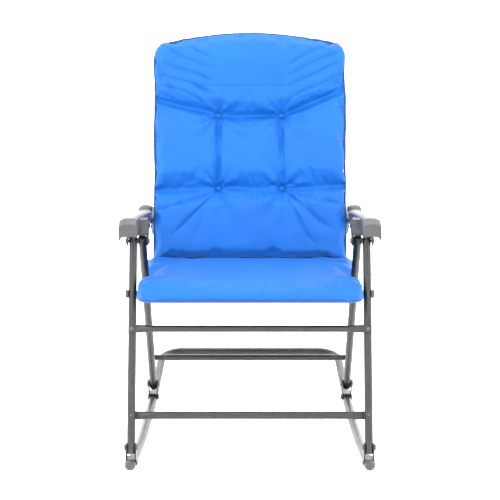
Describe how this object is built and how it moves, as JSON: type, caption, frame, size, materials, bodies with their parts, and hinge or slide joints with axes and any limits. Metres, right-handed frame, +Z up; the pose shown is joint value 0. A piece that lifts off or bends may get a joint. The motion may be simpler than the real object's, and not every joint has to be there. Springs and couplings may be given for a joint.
{
  "type": "camp rocking chair",
  "caption": "High-back padded camp rocking chair: tube legs in an inverted V on curved rockers, moulded armrests, and a seat, back and arms that fold together.",
  "frame": {"origin": "bottom centre of the box that the chair stands in", "axes": "+X across the chair, to the right seen from the front; +Y from the front edge to the rear; +Z up"},
  "size_m": [0.678, 0.925, 1.07],
  "materials": {
    "black_powder_coat": "satin",
    "black_zinc": "satin",
    "black_plastic": "matte",
    "padding": "satin",
    "blue_cover": "satin",
    "webbing": "matte"
  },
  "bodies": {
    "rocker_and_legs": {"apex_bolts": "black_zinc", "apex_washers": "black_zinc", "bracket_pins": "black_zinc", "cross_tube_rivets": "black_zinc", "front_bracket_left": "black_powder_coat", "front_bracket_right": "black_powder_coat", "front_foot_bolts": "black_zinc", "front_leg_left": "black_powder_coat", "front_leg_right": "black_powder_coat", "leg_foot_plugs": "black_plastic", "leg_top_plugs": "black_plastic", "lower_front_cross_tube": "black_powder_coat", "rear_bracket_left": "black_powder_coat", "rear_bracket_right": "black_powder_coat", "rear_cross_tube": "black_powder_coat", "rear_foot_bolts": "black_zinc", "rear_leg_left": "black_powder_coat", "rear_leg_right": "black_powder_coat", "rocker_tip_left": "black_plastic", "rocker_tip_right": "black_plastic", "rocker_tube": "black_powder_coat", "seat_stop_pins": "black_zinc", "upper_front_cross_tube": "black_powder_coat"},
    "seat": {"back_pivot_bolts": "black_zinc", "back_pivot_bushes": "black_plastic", "seat_cushion": "padding", "seat_frame": "black_powder_coat", "seat_pivot_bolts": "black_zinc", "seat_pivot_bushes": "black_plastic", "seat_pivot_caps": "black_plastic", "seat_rear_tube": "black_powder_coat", "seat_sling": "webbing"},
    "back": {"arm_rear_bolts": "black_zinc", "arm_rear_bushes": "black_plastic", "back_cushion": "padding", "back_frame": "black_powder_coat", "back_gussets": "black_powder_coat", "back_lower_tube": "black_powder_coat", "back_sling": "webbing", "tuft_buttons": "blue_cover"},
    "arm_left": {"arm_bracket_left": "black_powder_coat", "arm_screws_left": "black_zinc", "arm_side_cover_left": "black_plastic", "armrest_left": "black_plastic"},
    "arm_right": {"arm_bracket_right": "black_powder_coat", "arm_screws_right": "black_zinc", "arm_side_cover_right": "black_plastic", "armrest_right": "black_plastic"}
  },
  "joints": [
    {"name": "seat_fold", "type": "hinge", "parent": "rocker_and_legs", "child": "seat", "pos_m": [0, -0.25246, 0.46343], "axis": [1, 0, 0], "range_deg": [0, 54]},
    {"name": "back_fold", "type": "hinge", "parent": "seat", "child": "back", "pos_m": [0, 0.17088, 0.40769], "axis": [1, 0, 0], "range_deg": [-54, 0]},
    {"name": "arm_left_fold", "type": "hinge", "parent": "rocker_and_legs", "child": "arm_left", "pos_m": [0, -0.19358, 0.59264], "axis": [1, 0, 0], "range_deg": [0, 54]},
    {"name": "arm_right_fold", "type": "hinge", "parent": "rocker_and_legs", "child": "arm_right", "pos_m": [0, -0.19358, 0.59264], "axis": [1, 0, 0], "range_deg": [0, 54]}
  ],
  "couplings": [
    {"joint": "back_fold", "follows": "seat_fold", "ratio": -1},
    {"joint": "arm_left_fold", "follows": "seat_fold", "ratio": 1},
    {"joint": "arm_right_fold", "follows": "seat_fold", "ratio": 1}
  ]
}
